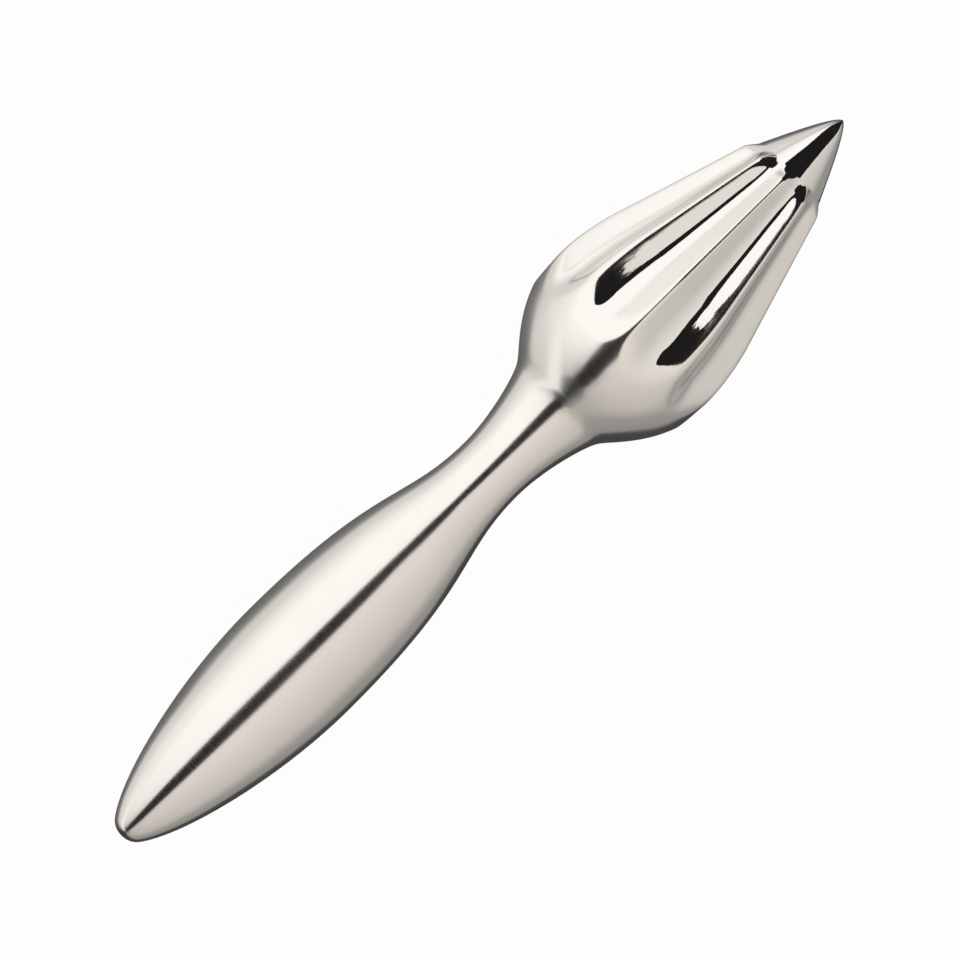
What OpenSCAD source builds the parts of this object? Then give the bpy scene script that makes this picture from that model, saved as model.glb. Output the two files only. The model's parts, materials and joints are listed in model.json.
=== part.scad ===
// One-hand citrus reamer: hollow handle, fluted cone head and turned point.
// It lies on its side on the plane z = 0 with its axis in the XZ plane and its point towards +X.
// Inside each sub-part the axis of the tool is X, measured from the tail of the handle.

/* [Handle] */
// Length of the handle from its tail to the crease at the head
handle_l = 103.1; // [95:0.1:115]
// Largest diameter of the handle
belly_d = 23.6; // [20:0.1:27]
// Distance of the largest diameter from the tail
belly_at = 42.3; // [36:0.1:48]
// Smallest diameter, at the neck
neck_d = 12.5; // [11:0.1:15]
// Distance of the neck from the crease
neck_back = 15.7; // [13:0.1:19]
// Diameter of the flared end of the handle at the crease
crease_d = 19.2; // [18.4:0.1:22]
// Thickness of the pressed half shells
shell_wall = 1.2; // [0.8:0.1:1.6]

/* [Handle curve] */
// Roundness of the tail, as a share of the largest radius
tail_round = 0.44; // [0.3:0.01:0.55]
// Fullness between the tail and the belly
belly_rear = 0.46; // [0.35:0.01:0.6]
// Fullness between the belly and the neck
belly_front = 0.66; // [0.45:0.01:0.72]
// Length of the slim part behind the neck
neck_rear = 0.31; // [0.2:0.01:0.45]
// Length of the slim part in front of the neck
neck_front = 0.33; // [0.2:0.01:0.45]
// Sharpness of the flare at the crease
flare_reach = 0.19; // [0.1:0.01:0.35]
// Angle of the flare to the axis at the crease
flare_angle = 28; // [18:1:36]

/* [Head] */
// Length of the head from the crease to the seat of the point
head_l = 54.3; // [48:0.1:62]
// Largest diameter over the ridges
head_d = 35.9; // [32:0.1:40]
// Distance of the largest diameter from the crease
wide_at = 18.4; // [16:0.1:21]
// Distance from there to where the straight ridge lines would start
knee = 5.4; // [3:0.1:8]
// Diameter over the ridges at the nose, where the shoulder starts
nose_d = 17.6; // [16.4:0.1:20]
// Length of the shoulder from the ridges to the seat of the point
shoulder_l = 2; // [1:0.1:3]
// Angle of the bulb to the axis at the crease
bulb_angle = 43; // [35:1:50]
// Fullness of the bulb near the crease
bulb_rear = 0.27; // [0.15:0.01:0.4]
// Fullness of the bulb near its largest diameter
bulb_front = 0.47; // [0.35:0.01:0.55]

/* [Flutes] */
// Number of ridges, with a flute between each two
ridges = 10; // [8:1:12]
// Depth of a flute at the nose
flute_depth = 1.3; // [0.9:0.05:1.6]
// Radius of the valley of a flute at the nose
flute_round = 1.9; // [1.2:0.05:2.1]
// Width that is left on top of a ridge at the nose
ridge_land = 0.5; // [0.3:0.05:0.9]

/* [Hollow of the head] */
// Least wall between a flute and the hollow
head_wall = 2; // [1.4:0.1:2.8]
// Thickness of the back wall round the spigot
back_wall = 4; // [3:0.1:6]
// Length of solid nose behind the shoulder
nose_wall = 6; // [4:0.1:9]

/* [Point] */
// Length of the point from its seat
point_l = 12.6; // [10:0.1:16]
// Diameter of the point at its seat
point_d = 13.9; // [12:0.1:15]
// Angle of the point's side to the axis at its seat
point_angle = 25; // [20:1:30]
// Straightness of the side of the point
point_straight = 0.4; // [0.2:0.01:0.5]
// Bluntness of the tip along the axis
tip_back = 0.1; // [0.05:0.01:0.2]
// Bluntness of the tip across the axis
tip_rise = 0.28; // [0.15:0.01:0.35]
// Diameter of the stub in the nose
stub_d = 7; // [5:0.1:8]
// Length of the stub
stub_l = 7; // [4:0.1:9]

/* [Neck core] */
// Length of the core inside the handle, measured back from the crease
core_l = 24; // [18:0.1:32]
// Diameter of the spigot in the head
spigot_d = 13; // [11:0.1:14.5]
// Length of the spigot
spigot_l = 7; // [5:0.1:10]
// Diameter of the hole through the core
core_hole_d = 5; // [3:0.1:6]

/* [Welds and fits] */
// Width of the bead between the half shells
seam_w = 0.6; // [0.4:0.05:1]
// Width of the ring weld at the crease
ring_w = 0.8; // [0.5:0.05:1.2]
// Clearance between pieces that slide together
fit = 0.05; // [0.02:0.01:0.1]

/* [Hidden] */
$fn = 96;
curve_steps = 24;
rest_steps = 8;

neck_at = handle_l - neck_back;
wide_x = handle_l + wide_at;
seat_x = handle_l + head_l;
nose_x = seat_x - shoulder_l;
tip_x = seat_x + point_l;
shell_end = handle_l - ring_w / 2;
head_back = handle_l + ring_w / 2;
hollow_back = head_back + back_wall;
hollow_front = nose_x - nose_wall;
core_back = handle_l - core_l;
bore_r = spigot_d / 2 + fit;
flange_r = crease_d / 2 - shell_wall - fit;
stub_root = point_l / 4;
reach = tip_x + head_d;

// Straight ridge lines: they start level with the largest diameter and meet in one apex on the axis
ridge_x = wide_x + knee;
ridge_slope = (head_d - nose_d) / 2 / (nose_x - ridge_x);
apex_x = nose_x + nose_d / 2 / ridge_slope;

// A flute is a round-bottomed V that shrinks to the same apex, worked out where it passes the nose
pitch = 360 / ridges;
apex_back = apex_x - nose_x;
valley_r = nose_d / 2 - flute_depth;
axis_r = valley_r + flute_round;
axis_l = norm([axis_r, apex_back]);
axis_tilt = atan2(axis_r, apex_back);
land_turn = pitch / 2 - ridge_land / nose_d * 180 / PI;
land_x = nose_d / 2 * sin(land_turn);
land_y = nose_d / 2 * cos(land_turn);
land_scale = axis_l * axis_l / (land_y * axis_r + apex_back * apex_back);
flank_x = land_x * land_scale;
flank_y = apex_back * (land_y - axis_r) / axis_l * land_scale;
flank_angle = atan2(flank_y, flank_x) + asin(flute_round / norm([flank_x, flank_y]));
flank_tilt = atan2(flute_round, axis_l);
chord_tilt = atan2(flute_round * cos(flank_angle), axis_l);
cutter_l = apex_x - handle_l;

function bezier(p, t) =
    pow(1 - t, 3) * p[0] + 3 * pow(1 - t, 2) * t * p[1] + 3 * (1 - t) * pow(t, 2) * p[2] + pow(t, 3) * p[3];
function span(p) = [for (i = [0 : curve_steps]) bezier(p, i / curve_steps)];
function rest_of(list) = [for (i = [1 : len(list) - 1]) list[i]];

// Side line of the handle, set in by a wall; its points are [distance from the tail, radius]
function handle_curve(wall) =
    let (
        tail = [wall, 0],
        belly = [belly_at, belly_d / 2 - wall],
        neck = [neck_at, neck_d / 2 - wall],
        crease = [handle_l, crease_d / 2 - wall],
        rear = belly_at - wall,
        middle = neck_at - belly_at
    )
    concat(
        span([tail, tail + [0, tail_round * belly.y], belly - [belly_rear * rear, 0], belly]),
        rest_of(span([belly, belly + [belly_front * middle, 0], neck - [neck_rear * middle, 0], neck])),
        rest_of(span([
            neck,
            neck + [neck_front * neck_back, 0],
            crease - flare_reach * neck_back * [1, tan(flare_angle)],
            crease
        ]))
    );

// Side line over the ridges of the head, from the crease to the seat of the point
function head_curve() =
    let (
        crease = [handle_l, crease_d / 2],
        wide = [wide_x, head_d / 2],
        corner = [ridge_x, head_d / 2],
        straight = corner + knee * [1, -ridge_slope],
        pull = 2 / 3
    )
    concat(
        span([
            crease,
            crease + bulb_rear * wide_at * [1, tan(bulb_angle)],
            wide - [bulb_front * wide_at, 0],
            wide
        ]),
        rest_of(span([
            wide,
            wide + pull * (corner - wide),
            straight + pull * (corner - straight),
            straight
        ])),
        [[nose_x, nose_d / 2], [seat_x, point_d / 2]]
    );

// Side line of the point
function point_curve() =
    let (base = [seat_x, point_d / 2], tip = [tip_x, 0])
    span([
        base,
        base + point_straight * point_l * [1, -tan(point_angle)],
        tip + [-tip_back * point_l, tip_rise * point_d / 2],
        tip
    ]);

// Side line of the hollow: round at the back, then parallel to the valleys of the flutes
function valley_at(x) = (apex_x - x) * valley_r / apex_back;
function hollow_at(x) = valley_at(x) - head_wall * norm([valley_r, apex_back]) / apex_back;
function hollow_curve() =
    let (
        back = [hollow_back, bore_r],
        wide = [wide_x, hollow_at(wide_x)],
        size = wide - back,
        rise = [0.15, 0.45],
        crown = 0.55
    )
    concat(
        [[hollow_back, 0]],
        span([back, back + [rise.x * size.x, rise.y * size.y], [back.x + crown * size.x, wide.y], wide]),
        [[hollow_front, hollow_at(hollow_front)], [hollow_front, 0]]
    );

// Resting place: the underside of the handle and the two lowest ridges touch one plane
flank_y_part = (cos(flank_angle) * apex_back + flute_round * axis_r / axis_l) / axis_l;
flank_x_part = (cos(flank_angle) * axis_r - flute_round * apex_back / axis_l) / axis_l;
flank_size = norm([flank_y_part, sin(flank_angle)]);
flank_turn = atan2(sin(flank_angle), flank_y_part);
function land_angle(p) = max(0, acos(min(1, flank_x_part * (apex_x - p.x) / p.y / flank_size)) - flank_turn);
handle_under = handle_curve(0);
head_under = [for (p = head_curve()) [p.x, p.y * cos(land_angle(p))]];
function lift(list, slope) = max([for (p = list) p.y - slope * p.x]);
function touch(list, slope) =
    let (top = lift(list, slope))
    [for (p = list) if (p.y - slope * p.x == top) p][0];
function rest_slope(slope, steps) =
    let (rear = touch(handle_under, slope), front = touch(head_under, slope))
    steps == 0 ? slope : rest_slope((front.y - rear.y) / (front.x - rear.x), steps - 1);
slope = rest_slope(0, rest_steps);
tilt = atan(slope);
rest_z = cos(tilt) * max(lift(handle_under, slope), lift(head_under, slope));
outline = concat(handle_curve(0), head_curve(), point_curve());
rear_x = min([for (p = outline) p.x * cos(tilt) - p.y * sin(tilt)]);
front_x = max([for (p = outline) p.x * cos(tilt) + p.y * sin(tilt)]);

module lay_down() {
    translate([-(rear_x + front_x) / 2, 0, rest_z]) rotate([0, -tilt, 0]) children();
}

module turned(points) {
    rotate([0, 90, 0]) rotate_extrude() polygon([for (p = points) [p.y, p.x]]);
}

module rod(d, from_x, to_x) {
    translate([from_x, 0, 0]) rotate([0, 90, 0]) cylinder(d = d, h = to_x - from_x);
}

// Everything between two planes square to the axis
module between(from_x, to_x) {
    translate([from_x, -reach, -reach]) cube([to_x - from_x, 2 * reach, 2 * reach]);
}

module handle_wall() {
    intersection() {
        difference() {
            turned(concat(handle_curve(0), [[handle_l, 0]]));
            turned(concat(handle_curve(shell_wall), [[handle_l, 0]]));
        }
        between(-reach, shell_end);
    }
}

module half_shell(side) {
    intersection() {
        handle_wall();
        translate([-reach, -reach, side > 0 ? seam_w / 2 : -seam_w / 2 - reach]) cube([2 * reach, 2 * reach, reach]);
    }
}

// Half space whose floor passes through the apex of the flutes and falls away by an angle
module flute_side(turn, fall) {
    rotate([0, 0, turn]) rotate([fall, 0, 0]) translate([-reach, 0, 0]) cube([2 * reach, reach, cutter_l]);
}

module flute_cutter() {
    cylinder(h = cutter_l, r1 = 0, r2 = flute_round * cutter_l / axis_l);
    intersection() {
        flute_side(flank_angle, flank_tilt);
        flute_side(-flank_angle, flank_tilt);
        flute_side(0, chord_tilt);
    }
}

module flutes() {
    for (i = [0 : ridges - 1])
        rotate([180 + i * pitch, 0, 0])
            translate([apex_x, 0, 0])
                rotate([0, axis_tilt - 90, 0])
                    rotate([0, 0, -90])
                        flute_cutter();
}

module handle_shell_upper() {
    color("silver") lay_down() half_shell(1);
}

module handle_shell_lower() {
    color("silver") lay_down() half_shell(-1);
}

module seam_weld() {
    color("lightgray") lay_down() intersection() {
        handle_wall();
        translate([-reach, -reach, -seam_w / 2]) cube([2 * reach, 2 * reach, seam_w]);
    }
}

module neck_core() {
    color("darkgray") lay_down() difference() {
        union() {
            intersection() {
                turned(concat([[0, 0]], handle_curve(shell_wall + fit), [[handle_l, 0]]));
                between(core_back, handle_l);
            }
            rod(2 * flange_r, handle_l, head_back);
            rod(spigot_d, head_back, head_back + spigot_l);
        }
        rod(core_hole_d, 0, tip_x);
    }
}

module neck_weld() {
    color("lightgray") lay_down() difference() {
        intersection() {
            union() {
                turned(concat(handle_curve(0), [[handle_l, 0]]));
                turned(concat([[handle_l, 0]], head_curve(), [[seat_x, 0]]));
            }
            between(shell_end, head_back);
        }
        rod(2 * (flange_r + fit), 0, tip_x);
    }
}

module reamer_head() {
    color("gainsboro") lay_down() difference() {
        intersection() {
            turned(concat([[handle_l, 0]], head_curve(), [[seat_x, 0]]));
            between(head_back, tip_x);
        }
        flutes();
        turned(hollow_curve());
        rod(2 * bore_r, handle_l, hollow_back + fit);
        rod(stub_d + 2 * fit, hollow_front - fit, tip_x);
    }
}

module point() {
    color("whitesmoke") lay_down() {
        turned(concat([[seat_x, 0]], point_curve()));
        rod(stub_d, seat_x - stub_l, seat_x + stub_root);
    }
}

handle_shell_upper();
handle_shell_lower();
seam_weld();
neck_core();
neck_weld();
reamer_head();
point();
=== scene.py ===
import json
import math

import bpy
import numpy as np
from mathutils import Matrix, Vector


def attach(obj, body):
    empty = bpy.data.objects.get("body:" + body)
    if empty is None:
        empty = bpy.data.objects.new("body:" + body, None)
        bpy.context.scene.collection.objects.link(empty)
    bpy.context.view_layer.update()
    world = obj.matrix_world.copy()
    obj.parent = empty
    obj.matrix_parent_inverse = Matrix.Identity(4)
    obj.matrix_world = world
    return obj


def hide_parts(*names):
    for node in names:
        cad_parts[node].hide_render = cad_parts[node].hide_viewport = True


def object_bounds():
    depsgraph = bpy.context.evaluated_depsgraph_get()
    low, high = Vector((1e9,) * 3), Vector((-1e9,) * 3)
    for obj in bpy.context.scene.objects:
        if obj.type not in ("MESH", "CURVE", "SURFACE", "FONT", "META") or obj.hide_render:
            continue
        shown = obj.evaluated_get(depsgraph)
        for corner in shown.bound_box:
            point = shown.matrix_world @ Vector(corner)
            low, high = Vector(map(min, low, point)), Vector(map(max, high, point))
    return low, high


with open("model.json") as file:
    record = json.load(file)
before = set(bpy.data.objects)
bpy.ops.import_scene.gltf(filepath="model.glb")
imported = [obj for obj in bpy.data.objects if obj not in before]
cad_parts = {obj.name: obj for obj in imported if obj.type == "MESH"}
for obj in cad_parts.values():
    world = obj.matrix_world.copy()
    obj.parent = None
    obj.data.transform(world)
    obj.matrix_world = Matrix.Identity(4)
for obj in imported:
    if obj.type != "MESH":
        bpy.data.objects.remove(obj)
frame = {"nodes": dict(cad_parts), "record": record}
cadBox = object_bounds()
scene = bpy.context.scene
scene.view_settings.view_transform = "Standard"
mm = 0.001

# the reamer lies on its belly and its head, so its axis leans a little: the record's fruit seat is at the tip
tool = {"length": 170.0, "seat": "fruit_seat"}
seat = next(mount for mount in frame["record"]["mounts"] if mount["name"] == tool["seat"])
axis = Vector(seat["axis"]).normalized()
flank = Vector((0, 1, 0))
rise = axis.cross(flank)
tail = Vector(seat["pos_m"]) - axis * tool["length"] * mm
toolAxes = np.array([axis, flank, rise])


def lay(points):  # millimetres along, beside and above the axis, to metres in the row's frame
    return np.array(tail) + np.asarray(points) @ toolAxes * mm


print("frame loaded:", len(frame["nodes"]), "nodes")


# camera

shot = {
    "turn": 44.744,     # degrees the axis climbs to the right in the picture
    "lean": 18.0,       # puts a ridge square to the lens
    "aim": 84.72,       # mm along the axis at the middle of the picture
    "field": 159.7,     # mm across the picture
    "distance": 1.2,
    "sensor": 36.0,
}


def makeCamera(shot):
    lean, turn = math.radians(shot["lean"]), math.radians(shot["turn"])
    toLens = rise * math.cos(lean) + flank * math.sin(lean)
    across = toLens.cross(axis)
    right = axis * math.cos(turn) - across * math.sin(turn)
    upright = axis * math.sin(turn) + across * math.cos(turn)
    lens = bpy.data.cameras.new("studioCamera")
    lens.sensor_width = shot["sensor"]
    lens.lens = shot["sensor"] * shot["distance"] / (shot["field"] * mm)
    camera = bpy.data.objects.new("studioCamera", lens)
    scene.collection.objects.link(camera)
    pose = Matrix((right, upright, toLens)).transposed().to_4x4()
    pose.translation = tail + axis * shot["aim"] * mm + toLens * shot["distance"]
    camera.matrix_world = pose
    scene.camera = camera
    return toLens, across


toLens, across = makeCamera(shot)
print("camera set")


# shader maths

class Wire:
    def __init__(self, finish, socket):
        self.finish = finish
        self.socket = socket

    def calc(self, operation, first, second):
        return self.finish.add("ShaderNodeMath", {"operation": operation}, {0: first, 1: second})

    def __add__(self, other):
        return self.calc("ADD", self, other)

    def __radd__(self, other):
        return self.calc("ADD", other, self)

    def __sub__(self, other):
        return self.calc("SUBTRACT", self, other)

    def __rsub__(self, other):
        return self.calc("SUBTRACT", other, self)

    def __mul__(self, other):
        return self.calc("MULTIPLY", self, other)

    def __rmul__(self, other):
        return self.calc("MULTIPLY", other, self)

    def atMost(self, other):
        return self.calc("MINIMUM", self, other)


class Finish:
    def __init__(self, owner):
        owner.use_nodes = True
        self.tree = owner.node_tree
        self.tree.nodes.clear()

    def add(self, kind, settings, sockets, out=0):
        node = self.tree.nodes.new(kind)
        for key, value in settings.items():
            setattr(node, key, value)
        for key, value in sockets.items():
            if isinstance(value, Wire):
                self.tree.links.new(value.socket, node.inputs[key])
            else:
                node.inputs[key].default_value = value
        return Wire(self, node.outputs[out]) if len(node.outputs) else node

    def blend(self, share, first, second):  # two colours
        settings = {"data_type": "RGBA", "blend_type": "MIX"}
        return self.add("ShaderNodeMix", settings, {0: share, 6: first, 7: second}, 2)

    def stretch(self, vector, scale):
        return self.add("ShaderNodeVectorMath", {"operation": "MULTIPLY"}, {0: vector, 1: scale})

    def noise(self, vector, detail):
        return self.add("ShaderNodeTexNoise", {}, {"Vector": vector, "Scale": 1.0, "Detail": detail})

    def reading(self, name, out="Fac"):  # a value kept on the mesh
        return self.add("ShaderNodeAttribute", {"attribute_name": name}, {}, out)


def newFinish(name):
    material = bpy.data.materials.new(name)
    return material, Finish(material)


def metalFinish(finish, colour, rough, relief, strength, height):
    bump = finish.add("ShaderNodeBump", {}, {"Strength": strength, "Distance": height, "Height": relief})
    sockets = {"Base Color": colour, "Metallic": 1.0, "Roughness": rough, "Normal": bump}
    surface = finish.add("ShaderNodeBsdfPrincipled", {}, sockets)
    finish.add("ShaderNodeOutputMaterial", {}, {"Surface": surface})


# finishes

satin = {
    "colour": (0.80, 0.78, 0.75, 1.0),
    "shade": (0.75, 0.73, 0.70, 1.0),
    "rough": 0.155,
    "roughSpread": 0.06,
    "lines": (5.0, 1.4, 1.4),   # brushing: close along the axis, long round it
    "lineDetail": 5.0,
    "lineHeight": 0.00001,
    "lineStrength": 0.16,
    "cloud": (0.12, 1.6, 1.6),   # slow change of shade
    "cloudDetail": 2.0,
}
mirror = {
    "colour": (0.77, 0.76, 0.74, 1.0),
    "rough": 0.035,
    "roughSpread": 0.03,
    "dents": (0.35, 26.0, 26.0),   # polishing marks: long down the flutes
    "dentDetail": 2.0,
    "dentHeight": 0.00001,
    "dentStrength": 0.16,
    "dentShare": 2.5,   # of the brushing's height, where a mask blends the two
}
turned = {
    "rings": (2500.0, 90.0, 90.0),   # lathe marks: close along the tool, long round it
    "ringDetail": 3.0,
    "colour": (0.66, 0.65, 0.64, 1.0),
    "shade": (0.58, 0.57, 0.56, 1.0),
    "rough": 0.32,
    "roughSpread": 0.12,
    "ringHeight": 0.00002,
    "ringStrength": 0.3,
}
noiseMiddle = 0.5


def steelFinish(name, polished):  # polished nowhere, all over, or where the piece's gloss says
    material, finish = newFinish(name)
    around = finish.reading("brush", "Vector")
    lines = finish.noise(finish.stretch(around, satin["lines"]), satin["lineDetail"])
    cloud = finish.noise(finish.stretch(around, satin["cloud"]), satin["cloudDetail"])
    lineSwing, cloudSwing = lines - noiseMiddle, cloud - noiseMiddle
    satinRough = satin["rough"] + lineSwing * satin["roughSpread"] + cloudSwing * satin["roughSpread"]
    satinColour = finish.blend(cloud, satin["shade"], satin["colour"])
    if polished == "nowhere":
        metalFinish(finish, satinColour, satinRough, lines, satin["lineStrength"], satin["lineHeight"])
        return material
    dents = finish.noise(finish.stretch(around, mirror["dents"]), mirror["dentDetail"])
    mirrorRough = mirror["rough"] + lineSwing * mirror["roughSpread"]
    if polished == "allOver":
        colour = finish.blend(cloud, satin["colour"], mirror["colour"])
        metalFinish(finish, colour, mirrorRough, dents, mirror["dentStrength"], mirror["dentHeight"])
    else:
        gloss = finish.reading("gloss")
        rough = satinRough + (mirrorRough - satinRough) * gloss
        colour = finish.blend(gloss, satinColour, mirror["colour"])
        relief = lines + (dents * mirror["dentShare"] - lines) * gloss
        metalFinish(finish, colour, rough, relief, satin["lineStrength"], satin["lineHeight"])
    return material


def turnedFinish(name):  # lathe rings on the core inside the neck
    material, finish = newFinish(name)
    place = finish.add("ShaderNodeTexCoord", {}, {}, "Object")
    rings = finish.noise(finish.stretch(place, turned["rings"]), turned["ringDetail"])
    rough = turned["rough"] + (rings - noiseMiddle) * turned["roughSpread"]
    colour = finish.blend(rings, turned["shade"], turned["colour"])
    metalFinish(finish, colour, rough, rings, turned["ringStrength"], turned["ringHeight"])
    return material


satinSteel = steelFinish("satinSteel", "nowhere")
flutedSteel = steelFinish("flutedSteel", "byGloss")
polishedSteel = steelFinish("polishedSteel", "allOver")
turnedSteel = turnedFinish("turnedSteel")
print("finishes made")


# outlines, in millimetres along the axis and from it

spanSteps = 400


def span(start, firstPull, lastPull, end):  # a curve from start to end, drawn towards two pulls
    t = np.linspace(0.0, 1.0, spanSteps)[:, None]
    a, b, c, d = (np.array(point, float) for point in (start, firstPull, lastPull, end))
    return (1 - t) ** 3 * a + 3 * (1 - t) ** 2 * t * b + 3 * (1 - t) * t ** 2 * c + t ** 3 * d


def chain(*spans):
    return np.vstack([spans[0]] + [part[1:] for part in spans[1:]])


def trackOf(outline):
    return np.concatenate([[0.0], np.cumsum(np.linalg.norm(np.diff(outline, axis=0), axis=1))])


def along(outline, tracks):  # points and outward normals at distances along an outline
    track = trackOf(outline)
    points = np.stack([np.interp(tracks, track, outline[:, k]) for k in (0, 1)], axis=1)
    slope = np.gradient(outline, track, axis=0)
    normals = np.stack([-slope[:, 1], slope[:, 0]], axis=1)
    normals = np.stack([np.interp(tracks, track, normals[:, k]) for k in (0, 1)], axis=1)
    return points, normals / np.linalg.norm(normals, axis=1, keepdims=True)


# mesh building

def gridFaces(rows, cols, first=0, closed=False, flip=False):
    i, j = np.meshgrid(np.arange(rows - 1), np.arange(cols if closed else cols - 1), indexing="ij")
    k = (j + 1) % cols
    quads = np.stack([i * cols + j, i * cols + k, (i + 1) * cols + k, (i + 1) * cols + j], axis=-1)
    quads = quads.reshape(-1, 4) + first
    return quads[:, ::-1] if flip else quads


def bridge(edgeA, edgeB):  # quads between two rows of points
    return np.stack([edgeA[:-1], edgeA[1:], edgeB[1:], edgeB[:-1]], axis=1)


def makePiece(name, points, faces, normals, flat, material, brush, gloss=None):
    mesh = bpy.data.meshes.new(name)
    rings = [list(dict.fromkeys(face)) for face in faces.tolist()]   # a corner used twice counts once
    mesh.from_pydata(lay(points).tolist(), [], rings)
    mesh.polygons.foreach_set("use_smooth", [not value for value in flat])
    world = normals @ toolAxes
    own = (0.0, 0.0, 0.0)   # leaves a flat face its own normal
    loops = [own if isFlat else tuple(world[v]) for isFlat, face in zip(flat, rings) for v in face]
    mesh.normals_split_custom_set(loops)
    store = mesh.attributes.new("brush", "FLOAT_VECTOR", "POINT")
    store.data.foreach_set("vector", np.asarray(brush, np.float32).ravel())
    if gloss is not None:
        store = mesh.attributes.new("gloss", "FLOAT", "POINT")
        store.data.foreach_set("value", np.asarray(gloss, np.float32).ravel())
    mesh.materials.append(material)
    piece = bpy.data.objects.new(name, mesh)
    scene.collection.objects.link(piece)
    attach(piece, "root")
    return piece


def brushOf(points):  # place along the axis and the direction round it
    tiny = 1e-6
    radius = np.maximum(np.hypot(points[:, 1], points[:, 2]), tiny)
    return np.stack([points[:, 0], points[:, 1] / radius, points[:, 2] / radius], axis=1)


# handle: two pressed halves and the bead between them

handle = {
    "length": 103.1,
    "bellyAt": 42.3, "bellyRadius": 11.8,
    "neckAt": 87.4, "neckRadius": 6.25,
    "creaseRadius": 9.6,
    "tailRound": 0.44, "bellyRear": 0.46, "bellyFront": 0.66,   # pulls, as shares of the stretch beside them
    "neckRear": 0.31, "neckFront": 0.33, "flareReach": 0.19, "flareAngle": 28.0,
    "blunt": 0.72, "bluntReach": 2.4,      # pushes the end of the tail in
    "soften": 1.2, "softenSlope": 0.4,     # fillet at the crease, to each side
    "wall": 1.2, "seam": 0.6, "end": 102.7,
    "rows": 250, "cols": 97, "rowCrowd": 0.25,   # closer rows at the tail
    "rearShare": 0.8,                      # of the way to the belly, where the outline only grows
    "seamClear": 1.02,                     # the rows start where the tail is a little wider than the seam
    "beadCols": 5,
}


def softCrease(outline):  # a small fillet between the neck and the bulb
    wide = handle["soften"]
    near = np.maximum(wide - np.abs(outline[:, 0] - handle["length"]), 0.0)
    outline[:, 1] += handle["softenSlope"] * near ** 2 / (4 * wide)
    return outline


def handleOutline(shape):
    middle, front = shape["neckAt"] - shape["bellyAt"], shape["length"] - shape["neckAt"]
    belly = (shape["bellyAt"], shape["bellyRadius"])
    neck = (shape["neckAt"], shape["neckRadius"])
    crease = (shape["length"], shape["creaseRadius"])
    flare = shape["flareReach"] * front
    lift = flare * math.tan(math.radians(shape["flareAngle"]))
    rear = span((0, 0), (0, shape["tailRound"] * belly[1]),
                (belly[0] * (1 - shape["bellyRear"]), belly[1]), belly)
    waist = span(belly, (belly[0] + shape["bellyFront"] * middle, belly[1]),
                 (neck[0] - shape["neckRear"] * middle, neck[1]), neck)
    mouth = span(neck, (neck[0] + shape["neckFront"] * front, neck[1]),
                 (crease[0] - flare, crease[1] - lift), crease)
    outline = chain(rear, waist, mouth)
    nearTail = np.maximum(1 - outline[:, 0] / shape["bluntReach"], 0)
    outline[:, 0] += shape["blunt"] * nearTail ** 2
    return softCrease(outline)


def inset(outline, wall):
    track = trackOf(outline)
    points, normals = along(outline, track)
    inner = points - normals * wall
    return inner[inner[:, 1] > 0]


def handleRows(outline, shape, half):
    track = trackOf(outline)
    growing = outline[:, 0] < shape["bellyAt"] * shape["rearShare"]
    start = np.interp(half * shape["seamClear"], outline[growing, 1], track[growing])
    stop = np.interp(shape["end"], outline[:, 0], track)
    share = np.linspace(0.0, 1.0, shape["rows"])
    share = (1 - shape["rowCrowd"]) * share + shape["rowCrowd"] * share ** 3
    return along(outline, start + (stop - start) * share)


def halfGrid(points, normals, shape, half, sign):
    share = np.linspace(0.0, 1.0, shape["cols"])[None, :]
    lowest = np.arcsin(np.clip(half / points[:, 1], 0, 1))[:, None]
    angle = lowest + (math.pi - 2 * lowest) * share
    ring = np.stack([np.zeros_like(angle), np.cos(angle), sign * np.sin(angle)], axis=-1)
    place = ring * points[:, 1][:, None, None]
    place[..., 0] = points[:, 0][:, None]
    facing = ring * normals[:, 1][:, None, None]
    facing[..., 0] = normals[:, 0][:, None]
    return place, facing


def closedShell(outer, inner, outerNormals, innerNormals, flip):
    rows, cols = outer.shape[:2]
    count = rows * cols
    points = np.vstack([outer.reshape(-1, 3), inner.reshape(-1, 3)])
    normals = np.vstack([outerNormals.reshape(-1, 3), -innerNormals.reshape(-1, 3)])
    index = np.arange(count).reshape(rows, cols)
    skins = [gridFaces(rows, cols, 0, flip=flip), gridFaces(rows, cols, count, flip=not flip)]
    edges = [index[:, 0], index[-1], index[::-1, -1], index[0, ::-1]]
    rims = [bridge(edge, edge + count) for edge in edges]
    if flip:
        rims = [rim[:, ::-1] for rim in rims]
    faces = np.vstack(skins + rims)
    flat = [False] * sum(map(len, skins)) + [True] * sum(map(len, rims))
    return points, faces, normals, flat


handleSkin = handleOutline(handle)
handleLining = inset(handleSkin, handle["wall"])
seamHalf = handle["seam"] / 2
skinRows = handleRows(handleSkin, handle, seamHalf)
liningRows = handleRows(handleLining, handle, seamHalf)


def makeHandleHalf(name, node, sign):
    outer, outerNormals = halfGrid(*skinRows, handle, seamHalf, sign)
    inner, innerNormals = halfGrid(*liningRows, handle, seamHalf, sign)
    points, faces, normals, flat = closedShell(outer, inner, outerNormals, innerNormals, sign < 0)
    piece = makePiece(name, points, faces, normals, flat, satinSteel, brushOf(points))
    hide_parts(node)


makeHandleHalf("handleHalfUpper", "handle_shell_upper", 1)
makeHandleHalf("handleHalfLower", "handle_shell_lower", -1)


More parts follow.
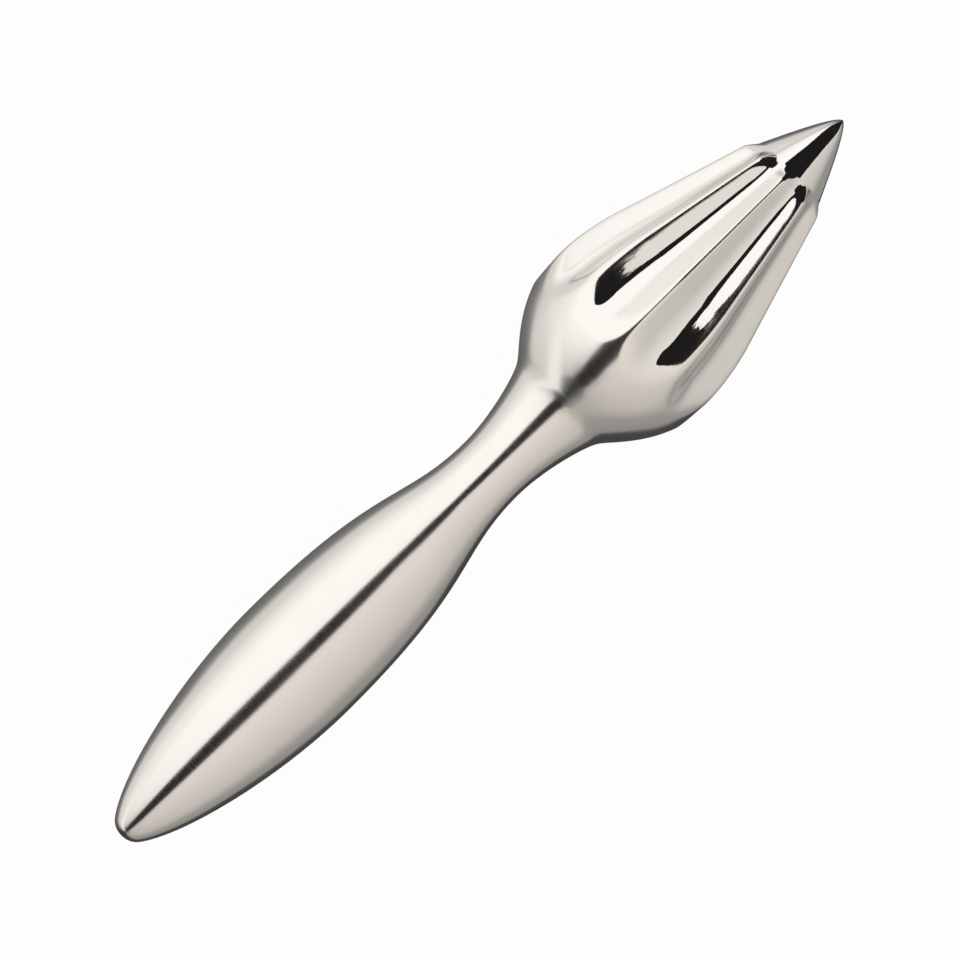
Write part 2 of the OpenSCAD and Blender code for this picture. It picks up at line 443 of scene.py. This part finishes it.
def beadGrid(rows, outline, half):  # up one side, round the tail and back down the other
    points, normals = rows
    count = handle["beadCols"]
    heights = np.linspace(-half, half, count)
    beside = np.sqrt(np.maximum(points[:, 1][:, None] ** 2 - heights[None, :] ** 2, 0))
    strip = np.empty((len(points), count, 3))
    strip[..., 0] = points[:, :1]
    strip[..., 1] = beside
    strip[..., 2] = heights
    facing = strip / points[:, 1][:, None, None] * normals[:, 1][:, None, None]
    facing[..., 0] = normals[:, :1]
    capAt = np.interp(np.abs(heights), outline[:spanSteps, 1], outline[:spanSteps, 0])
    cap = np.stack([capAt, np.zeros(count), heights], axis=-1)[None]
    capFacing = np.zeros((1, count, 3))
    capFacing[..., 0] = -1.0
    mirrored = np.array([1.0, -1.0, 1.0])
    place = np.concatenate([strip[::-1], cap, strip * mirrored])
    return place, np.concatenate([facing[::-1], capFacing, facing * mirrored])


def makeSeamBead():
    outer, outerNormals = beadGrid(skinRows, handleSkin, seamHalf)
    inner, innerNormals = beadGrid(liningRows, handleLining, seamHalf)
    points, faces, normals, flat = closedShell(outer, inner, outerNormals, innerNormals, True)
    piece = makePiece("seamBead", points, faces, normals, flat, satinSteel, brushOf(points))
    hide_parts("seam_weld")


makeSeamBead()
print("handle made")


# head: bulb, ten flutes and shoulder

head = {
    "back": 103.5, "wideAt": 121.5, "wideRadius": 17.95,
    "bulbAngle": 43.0, "bulbRear": 0.27, "bulbFront": 0.47, "bulbLength": 18.4,
    "swellAt": 120.5, "swellReach": 5.0, "swell": 0.25,   # a little more width where the flutes start
    "knee": 5.4, "kneePull": 2.0 / 3.0, "noseAt": 155.4, "noseRadius": 8.8,
    "rollFrom": 154.9, "rollPull": 0.5,   # the shoulder, from the cone down to the point's seat
    "seatAt": 157.4, "seatRadius": 6.95, "seatPull": 0.9, "seatSlope": -0.85,
    "ridges": 10, "flankLean": 25.5,
    "valleyRound": 0.2256, "crestRound": 0.058,           # as shares of the radius
    "startAt": 114.0, "startLength": 8.0, "startShare": 0.6,   # the share of the depth that opens quickly
    "archSlope": 0.22, "archRound": 8.0,                  # mm later for each degree from the valley
    "deepenLength": 26.0, "crestLate": 3.5, "latePower": 3.0,
    "bow": 0.0026, "bowFrom": 11.5, "bowTo": 15.7,        # flanks below the crest, degrees from the valley
    "bowAt": 127.0, "bowLength": 9.0,
    "endFrom": 150.0, "endPower": 4.0, "crestSoon": 2.2,
    "glossDepth": 0.35, "glossLead": 1.0, "glossSpan": 2.0,   # where satin turns to polish
    "rows": 230, "perRidge": 40,
    "socket": 3.55, "socketEnd": 151.4, "bore": 6.55, "boreEnd": 107.5,
    "hollow": [(148.0, 5.5), (126.0, 12.4), (120.0, 13.2), (113.0, 12.0)], "hollowEnd": 8.0,
}


def headOutline(shape):
    crease = (handle["length"], handle["creaseRadius"])
    wide = (shape["wideAt"], shape["wideRadius"])
    pull = shape["bulbRear"] * shape["bulbLength"]
    bulb = span(crease, (crease[0] + pull, crease[1] + pull * math.tan(math.radians(shape["bulbAngle"]))),
                (wide[0] - shape["bulbFront"] * shape["bulbLength"], wide[1]), wide)
    knee, kneePull = shape["knee"], shape["knee"] * shape["kneePull"]
    corner = (wide[0] + knee, wide[1])
    slope = (shape["noseRadius"] - corner[1]) / (shape["noseAt"] - corner[0])
    straight = (corner[0] + knee, corner[1] + knee * slope)
    bend = span(wide, (wide[0] + kneePull, wide[1]),
                (straight[0] - kneePull, straight[1] - kneePull * slope), straight)
    roll = (shape["rollFrom"], shape["noseRadius"] + (shape["rollFrom"] - shape["noseAt"]) * slope)
    cone = span(straight, straight, roll, roll)
    rollPull, seatPull = shape["rollPull"], shape["seatPull"]
    seatEdge = (shape["seatAt"], shape["seatRadius"])
    shoulder = span(roll, (roll[0] + rollPull, roll[1] + rollPull * slope),
                    (seatEdge[0] - seatPull, seatEdge[1] - seatPull * shape["seatSlope"]), seatEdge)
    outline = chain(bulb, bend, cone, shoulder)
    outline[:, 1] += shape["swell"] * np.exp(-((outline[:, 0] - shape["swellAt"]) / shape["swellReach"]) ** 2)
    return softCrease(outline)


def fluteSection(shape, angles):  # radius round one flute, 1 at the crests; angles from the valley
    halfPitch = math.pi / shape["ridges"]
    lean = math.radians(shape["flankLean"])
    crestLean = lean + halfPitch
    crest, valley = shape["crestRound"], shape["valleyRound"]
    sharp = 1 + crest * (1 / math.cos(crestLean) - 1)
    offset = sharp * math.cos(crestLean)
    valleyAt = (offset + valley) / math.cos(lean)
    crestAt = 1 - crest
    size = np.abs(angles)
    flankRadius = offset / np.cos(size + lean)
    valleyEnd = math.atan2(valley * math.sin(lean), valleyAt - valley * math.cos(lean))
    inValley = np.sqrt(np.maximum(valley ** 2 - (valleyAt * np.sin(size)) ** 2, 0))
    radius = np.where(size < valleyEnd, valleyAt * np.cos(size) - inValley, flankRadius)
    fromCrest = halfPitch - size
    crestEnd = math.atan2(crest * math.sin(crestLean), crestAt + crest * math.cos(crestLean))
    onCrest = np.sqrt(np.maximum(crest ** 2 - (crestAt * np.sin(fromCrest)) ** 2, 0))
    return np.where(fromCrest < crestEnd, crestAt * np.cos(fromCrest) + onCrest, radius)


def ease(value):
    value = np.clip(value, 0.0, 1.0)
    return value * value * (3 - 2 * value)


def fluteOpening(shape, at, fromValley, towardsCrest):  # 0 on the bulb, 1 where the flutes are whole
    arch = shape["archSlope"] * (np.hypot(np.degrees(fromValley), shape["archRound"]) - shape["archRound"])
    quick = ease((at - shape["startAt"] - arch[None, :]) / shape["startLength"])
    late = shape["crestLate"] * towardsCrest ** shape["latePower"]
    slow = np.clip((at - shape["startAt"] - late[None, :]) / shape["deepenLength"], 0, 1)
    slow = slow * (2 - slow)
    return shape["startShare"] * quick + (1 - shape["startShare"]) * slow


def fluteClosing(shape, at, towardsCrest):  # 1 at the point's seat, where the head is round again
    power = shape["endPower"] - shape["crestSoon"] * towardsCrest[None, :] ** 2
    return np.clip((at - shape["endFrom"]) / (shape["seatAt"] - shape["endFrom"]), 0, 1) ** power


def headGrid(shape):
    outline = headOutline(shape)
    track = trackOf(outline)
    start = np.interp(shape["back"], outline[:, 0], track)
    points, _ = along(outline, np.linspace(start, track[-1], shape["rows"]))
    count = shape["ridges"] * shape["perRidge"]
    angles = np.arange(count) * 2 * math.pi / count
    pitch = 2 * math.pi / shape["ridges"]
    fromValley = (angles - math.pi / 2 + pitch / 2) % pitch - pitch / 2   # valleys face up and down
    towardsCrest = np.abs(fromValley) * 2 / pitch
    at = points[:, :1]
    cut = fluteOpening(shape, at, fromValley, towardsCrest) * (1 - fluteClosing(shape, at, towardsCrest))
    depth = (1 - fluteSection(shape, fromValley))[None, :]
    bowed = (np.degrees(np.abs(fromValley)) - shape["bowFrom"]) / (shape["bowTo"] - shape["bowFrom"])
    bow = shape["bow"] * np.clip(bowed, 0, 1)[None, :] ** 2
    bow = bow * ease((at - shape["bowAt"]) / shape["bowLength"])
    radius = points[:, 1:] * (1 - (depth + bow) * cut)
    place = np.stack([np.repeat(at, count, 1), radius * np.cos(angles), radius * np.sin(angles)], axis=-1)
    gloss = np.clip(cut * depth / (shape["glossDepth"] * depth.max()), 0, 1)
    nearEnd = ease((at - (shape["rollFrom"] - shape["glossLead"])) / shape["glossSpan"])
    return place, np.maximum(gloss, nearEnd)


def gridNormals(place):  # of a grid that closes round the axis
    alongRows = np.gradient(place, axis=0)
    aroundCols = np.roll(place, -1, 1) - np.roll(place, 1, 1)
    normals = np.cross(aroundCols, alongRows)
    outward = place * np.array([0.0, 1.0, 1.0])
    normals *= np.sign(np.sum(normals * outward, -1, keepdims=True))
    return normals / np.linalg.norm(normals, axis=-1, keepdims=True)


def makeHead():
    place, gloss = headGrid(head)
    rows, cols = place.shape[:2]
    socket = [(head["seatAt"], head["socket"]), (head["socketEnd"], head["socket"])]
    hollow = head["hollow"] + [(head["boreEnd"], head["hollowEnd"])]
    bore = [(head["boreEnd"], head["bore"]), (head["back"], head["bore"])]
    lining = socket + hollow + bore
    angles = np.arctan2(place[0, :, 2], place[0, :, 1])
    around = np.stack([np.zeros(cols), np.cos(angles), np.sin(angles)], axis=-1)
    inner = np.array([around * radius + np.array([at, 0.0, 0.0]) for at, radius in lining])
    points = np.vstack([place.reshape(-1, 3), inner.reshape(-1, 3)])
    normals = np.vstack([gridNormals(place).reshape(-1, 3), np.zeros((inner.size // 3, 3))])
    skin = gridFaces(rows, cols, 0, closed=True)
    rest = gridFaces(len(lining), cols, rows * cols, closed=True)
    loop = np.append(np.arange(cols), 0)
    front = bridge(loop + (rows - 1) * cols, loop + rows * cols)
    rear = bridge(loop + (rows + len(lining) - 1) * cols, loop)
    faces = np.vstack([skin, front, rest, rear])
    flat = [False] * len(skin) + [True] * (len(faces) - len(skin))
    fullGloss = np.concatenate([gloss.ravel(), np.zeros(inner.size // 3)])
    piece = makePiece("flutedHead", points, faces, normals, flat, flutedSteel, brushOf(points), fullGloss)
    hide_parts("reamer_head")


makeHead()
print("head made")


# ring at the crease and the point

ring = {"inner": 8.4, "steps": 12, "cols": 192}
point = {
    "tip": 169.75, "angle": 25.3,
    "straight": 0.4, "tipBack": 0.04, "tipRise": 0.21,   # pulls as shares of the length and the radius
    "stubRadius": 3.5, "stubEnd": 150.4,
    "rows": 90, "cols": 192, "tipCrowd": 1.4,   # closer rows at the tip
}


def turn(outline, normals, cols):  # revolves an outline round the axis
    angles = np.arange(cols) * 2 * math.pi / cols
    around = np.stack([np.zeros(cols), np.cos(angles), np.sin(angles)], axis=-1)
    place = around[None] * outline[:, 1][:, None, None]
    place[..., 0] = outline[:, :1]
    facing = around[None] * normals[:, 1][:, None, None]
    facing[..., 0] = normals[:, :1]
    return place.reshape(-1, 3), facing.reshape(-1, 3)


def makeCreaseRing():
    whole = chain(handleSkin, headOutline(head))
    track = trackOf(whole)
    first, last = np.interp([handle["end"], head["back"]], whole[:, 0], track)
    outer, outerNormals = along(whole, np.linspace(first, last, ring["steps"]))
    inner = np.array([[head["back"], ring["inner"]], [handle["end"], ring["inner"]]])
    outline = np.vstack([outer, inner, outer[:1]])
    normals = np.vstack([outerNormals, np.zeros((len(inner) + 1, 2))])
    points, facing = turn(outline, normals, ring["cols"])
    count = len(points) - ring["cols"]   # the last row is the first one again
    points, facing = points[:count], facing[:count]
    faces = gridFaces(len(outline), ring["cols"], closed=True) % count
    flat = [False] * ((ring["steps"] - 1) * ring["cols"])
    flat += [True] * (len(faces) - len(flat))
    piece = makePiece("creaseRing", points, faces, facing, flat, satinSteel, brushOf(points))
    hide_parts("neck_weld")


def makePoint():
    base, tip = (head["seatAt"], head["seatRadius"]), (point["tip"], 0.0)
    reach = tip[0] - base[0]
    pull = point["straight"] * reach
    outer = span(base, (base[0] + pull, base[1] - pull * math.tan(math.radians(point["angle"]))),
                 (tip[0] - point["tipBack"] * reach, point["tipRise"] * base[1]), tip)
    share = np.linspace(0.0, 1.0, point["rows"])
    outer, outerNormals = along(outer, trackOf(outer)[-1] * (1 - (1 - share) ** point["tipCrowd"]))
    stub = np.array([[point["stubEnd"], 0.0], [point["stubEnd"], point["stubRadius"]],
                     [base[0], point["stubRadius"]]])
    outline = np.vstack([stub, outer])
    normals = np.vstack([np.zeros((len(stub), 2)), outerNormals])
    cols = point["cols"]
    points, facing = turn(outline, normals, cols)
    faces = gridFaces(len(outline), cols, closed=True)
    last = len(points) - cols
    faces = np.where(faces < cols, 0, faces)            # one vertex at each end
    faces = np.where(faces >= last, last, faces)
    used, faces = np.unique(faces, return_inverse=True)
    faces = faces.reshape(-1, 4)
    points, facing = points[used], facing[used]
    stubFaces = len(stub) * cols
    flat = [True] * stubFaces + [False] * (len(faces) - stubFaces)
    piece = makePiece("turnedPoint", points, faces, facing, flat, polishedSteel, brushOf(points))
    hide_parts("point")


makeCreaseRing()
makePoint()
core = frame["nodes"]["neck_core"]
core.data.materials.clear()
core.data.materials.append(turnedSteel)
print("ring, point and core finished")


# studio: floor, white surround, two curved soft boxes with a dark gap between them

white = (1.0, 1.0, 1.0, 1.0)
studio = {
    "floorSize": 30.0, "floorColour": (0.97, 0.97, 0.97, 1.0), "whiteShare": 0.96,
    "fill": 0.35,                        # what the white surround gives the object
    "radius": 1.0, "steps": 40,          # the soft boxes bend round the tool's axis
    "tailEnd": -3.0, "tipEnd": 2.4,      # metres along the axis from the middle of the picture
    "stations": [-2.2, -1.0, 0.2, 0.75, 1.0],
    "dip": 4.8,                          # degrees that the lower edges sink for each metre past the middle
    "shade": [(-3.0, 0.74), (-2.2, 0.56), (-1.5, 0.26), (-0.7, 0.0)],   # beside the gap, towards the tail
    "shadeFrom": 11.0, "shadeSpan": 30.0,
}
leftBox = {
    "name": "softBoxLeft", "sign": 1, "colour": (1.0, 0.985, 0.96, 1.0),
    "edge": 73.5, "glow": [(0.0, 1.26), (60.0, 1.26), (73.5, 1.16)],
    "fade": [(-3.0, 0.52), (-1.8, 0.69), (-1.0, 0.87), (-0.5, 1.0)],   # dimmer to the tail
    "gap": [(-2.6, 18.0), (-1.6, 15.0), (-0.7, 13.6), (-0.45, 12.6), (-0.25, 11.2), (-0.1, 10.4),
            (0.3, 10.4), (0.4, 10.0), (0.45, 9.8), (0.5, 10.4), (0.56, 11.2), (0.6, 12.2), (0.64, 12.6),
            (0.7, 16.0), (0.9, 30.0), (1.12, 39.0), (1.21, 32.0), (1.3, 36.0), (1.42, 42.0), (1.5, 56.0),
            (1.6, 72.0), (2.4, 84.0)],   # degrees from the lens, wide beyond the tip
}
rightBox = {
    "name": "softBoxRight", "sign": -1, "colour": (1.05, 1.0, 0.945, 1.0),
    "edge": 109.5, "glow": [(16.0, 0.92), (90.0, 0.64), (109.5, 0.42)],
    "fade": [(-3.0, 0.72), (-1.8, 0.82), (-1.0, 0.93), (-0.5, 1.0)],
    "gap": [(-2.6, 24.0), (-1.9, 20.0), (-1.5, 19.0), (-1.25, 16.5), (-1.0, 13.8), (-0.7, 12.6),
            (-0.45, 11.8), (-0.25, 11.2), (-0.1, 10.4), (0.15, 9.5), (0.25, 8.0), (0.33, 6.9), (0.4, 8.0),
            (0.47, 9.7), (0.56, 9.6), (0.62, 9.0), (0.9, 30.0), (1.12, 40.0), (1.21, 36.0), (1.3, 39.0),
            (1.42, 45.0), (1.5, 60.0), (1.6, 78.0), (2.4, 95.0)],
}
cloth = {
    "black": (0.0155, 0.014, 0.0145, 1.0), "behind": 1.02, "gapSpread": 95.0, "endSpread": 130.0, "steps": 40,
    "wall": [(0.0, 0.03), (15.0, 0.07), (30.0, 0.18), (50.0, 0.42), (70.0, 0.56), (95.0, 0.68), (130.0, 0.5)],
    "rings": [(0.02, 0.25), (0.3, 0.4), (0.6, 0.62), (1.0, 1.0)],   # the wall is darkest at its middle
}


def backgroundShare(finish):  # where the plain white background shows itself
    seen = finish.add("ShaderNodeLightPath", {}, {}, "Is Camera Ray")
    rays = seen.socket.node.outputs
    glossy = Wire(finish, rays["Is Glossy Ray"])
    through = Wire(finish, rays["Is Transmission Ray"])
    return (seen + glossy + through).atMost(1.0)


def makeSurround():
    world = bpy.data.worlds.new("studioWhite")
    scene.world = world
    finish = Finish(world)
    seen = backgroundShare(finish)
    strength = studio["fill"] + (1.0 - studio["fill"]) * seen
    light = finish.add("ShaderNodeBackground", {}, {"Color": white, "Strength": strength})
    finish.add("ShaderNodeOutputWorld", {}, {"Surface": light})


def stagePiece(name, points, faces, material):
    mesh = bpy.data.meshes.new(name)
    mesh.from_pydata(points, [], faces)
    mesh.materials.append(material)
    thing = bpy.data.objects.new(name, mesh)
    scene.collection.objects.link(thing)
    return thing


def makeFloor():
    material, finish = newFinish("paleFloor")
    matte = finish.add("ShaderNodeBsdfDiffuse", {}, {"Color": studio["floorColour"]})
    plain = finish.add("ShaderNodeEmission", {}, {"Color": white, "Strength": 1.0})
    share = backgroundShare(finish) * studio["whiteShare"]
    mixed = finish.add("ShaderNodeMixShader", {}, {0: share, 1: matte, 2: plain})
    finish.add("ShaderNodeOutputMaterial", {}, {"Surface": mixed})
    half = studio["floorSize"] / 2
    corners = [(-half, -half, 0.0), (half, -half, 0.0), (half, half, 0.0), (-half, half, 0.0)]
    stagePiece("floor", corners, [(0, 1, 2, 3)], material)


def lookUp(table, at):  # a value from a table of places and values
    return float(np.interp(at, *zip(*table)))


def gapShade(at, angle):
    beside = float(ease((angle - studio["shadeFrom"]) / studio["shadeSpan"]))
    return 1 - lookUp(studio["shade"], at) * (1 - beside)


def boxPoint(at, angle, radius):
    centre = tail + axis * shot["aim"] * mm
    return centre + axis * at + (toLens * math.cos(angle) + across * math.sin(angle)) * radius


def glowPanel(name, points, faces, glows, colour):
    material, finish = newFinish(name)
    light = finish.add("ShaderNodeEmission", {}, {"Color": colour, "Strength": finish.reading("glow")})
    finish.add("ShaderNodeOutputMaterial", {}, {"Surface": light})
    panel = stagePiece(name, points, faces, material)
    panel.data.attributes.new("glow", "FLOAT", "POINT").data.foreach_set("value", glows)
    panel.visible_camera = False
    return panel


def makeSoftBox(box):
    steps = studio["steps"]
    ends = {studio["tailEnd"], studio["tipEnd"]}
    stations = sorted(ends | {*studio["stations"], *(at for at, _ in box["gap"])})
    points, glows = [], []
    for at in stations:
        inner = lookUp(box["gap"], at)
        edge = box["edge"] + studio["dip"] * max(at, 0.0)
        for angle in np.linspace(inner, edge, steps + 1):
            points.append(boxPoint(at, math.radians(angle) * box["sign"], studio["radius"]))
            glows.append(lookUp(box["glow"], angle) * lookUp(box["fade"], at) * gapShade(at, angle))
    glowPanel(box["name"], points, gridFaces(len(stations), steps + 1).tolist(), glows, box["colour"])


def clothMaterial(name):
    material, finish = newFinish(name)
    dim = finish.add("ShaderNodeEmission", {}, {"Color": cloth["black"], "Strength": 1.0})
    finish.add("ShaderNodeOutputMaterial", {}, {"Surface": dim})
    return material


def makeCloths():  # behind the gap between the soft boxes and at the two open ends
    black = clothMaterial("blackCloth")
    radius, steps = studio["radius"] * cloth["behind"], cloth["steps"]
    tailEnd, tipEnd = studio["tailEnd"], studio["tipEnd"]
    bow = np.radians(np.linspace(-cloth["gapSpread"], cloth["gapSpread"], steps + 1))
    points = [boxPoint(at, angle, radius) for at in (tailEnd, tipEnd) for angle in bow]
    stagePiece("gapCloth", points, gridFaces(2, steps + 1).tolist(), black).visible_camera = False
    bow = np.linspace(-cloth["endSpread"], cloth["endSpread"], steps + 1)
    edge = [boxPoint(tipEnd, math.radians(angle), radius) for angle in bow]
    stagePiece("tipEndCloth", edge, [tuple(range(steps + 1))], black).visible_camera = False
    rings = cloth["rings"]
    points = [boxPoint(tailEnd, math.radians(angle), radius * share) for share, _ in rings for angle in bow]
    glows = [lookUp(cloth["wall"], abs(angle)) * part for _, part in rings for angle in bow]
    glowPanel("tailEndWall", points, gridFaces(len(rings), steps + 1).tolist(), glows, leftBox["colour"])


makeSurround()
makeFloor()
makeSoftBox(leftBox)
makeSoftBox(rightBox)
makeCloths()


# a glowing card on the floor that lights nothing and is seen only in the metal: its graded glow is a painted
# reflection, painted shade near the tool and paler further out, and it draws the dark edges of the handle and
# the bulb
paintedReflectionCard = {
    "height": 0.0001, "colour": (1.0, 0.98, 0.95, 1.0), "stations": 90, "beyond": [0.05, 0.2, 0.6, 1.4, 2.8],
    "lift": [(118, 0.0), (126, 0.5), (134, 0.85), (154, 0.85), (160, 0.0)],   # painted reflected light: paler beside the flutes
}
# each side of the card: its painted reflected shade and light, and how far it reaches beside the axis in mm
reflectionCardLeft = {
    "sign": 1, "edge": 1.03, "edgeGlow": 1.14, "top": 1.22,
    "glow": [(0.0, 0.05), (0.45, 0.15), (0.6, 0.17), (0.8, 0.23), (0.92, 0.32), (1.02, 0.45), (1.12, 0.66),
             (1.3, 0.8), (1.8, 0.85), (2.8, 0.99), (6.0, 1.1)],   # painted reflected shade and light by shares of the reach, darkest under the tool
    "reach": [(-20, 7), (0, 11), (11, 15.5), (21, 21.5), (35, 23.5), (51, 25.2), (68, 24.5), (81, 21),
              (91, 20.5), (100, 25), (112, 28), (150, 24), (158, 23), (170, 17), (220, 30), (370, 165)],
    "weight": [(1.2, 0.3), (1.6, 0.5), (2.4, 1.1)],   # how much of the lift
}
reflectionCardRight = {
    "sign": -1, "edge": 1.03, "edgeGlow": 0.42, "top": 0.5,
    "glow": [(0.25, 0.06), (0.72, 0.07), (0.85, 0.1), (1.0, 0.26), (1.08, 0.34), (1.6, 0.36), (4.0, 0.39)],
    "reach": [(-20, 15), (0, 34), (11, 44), (21, 46), (35, 46), (51, 43), (68, 46), (81, 60), (100, 58),
              (116, 74), (150, 60), (170, 29), (220, 60), (370, 200)],
    "weight": [(0.0, 1.0)],
}


def reflectionCardRow(side, place):  # distances beside the axis and how bright the card's painted reflection is there
    lift = lookUp(paintedReflectionCard["lift"], place)
    reach = lookUp(side["reach"], place) * mm
    row = []
    for share, glow in side["glow"]:
        raised = (side["top"] - glow) * lift * lookUp(side["weight"], share)
        row.append((side["sign"] * share * reach, glow + raised))
    return row + [(side["sign"] * side["edge"], side["edgeGlow"])]


def makePaintedReflectionCard():
    beyond = np.array(paintedReflectionCard["beyond"])
    near = np.linspace(cadBox[0].x, cadBox[1].x, paintedReflectionCard["stations"])
    stations = np.concatenate([near[0] - beyond[::-1], near, near[-1] + beyond])
    points, glows = [], []
    for at in stations:
        place = (at - tail.x) / axis.x / mm
        row = reflectionCardRow(reflectionCardRight, place)[::-1] + reflectionCardRow(reflectionCardLeft, place)
        points += [(at, beside, paintedReflectionCard["height"]) for beside, _ in row]
        glows += [glow for _, glow in row]
    faces = gridFaces(len(stations), len(row)).tolist()
    # the card's glow is painted reflection: it lights nothing and only the metal sees it
    card = glowPanel("paintedReflectionCard", points, faces, glows, paintedReflectionCard["colour"])
    card.visible_diffuse = card.visible_shadow = False


makePaintedReflectionCard()
print("studio set")
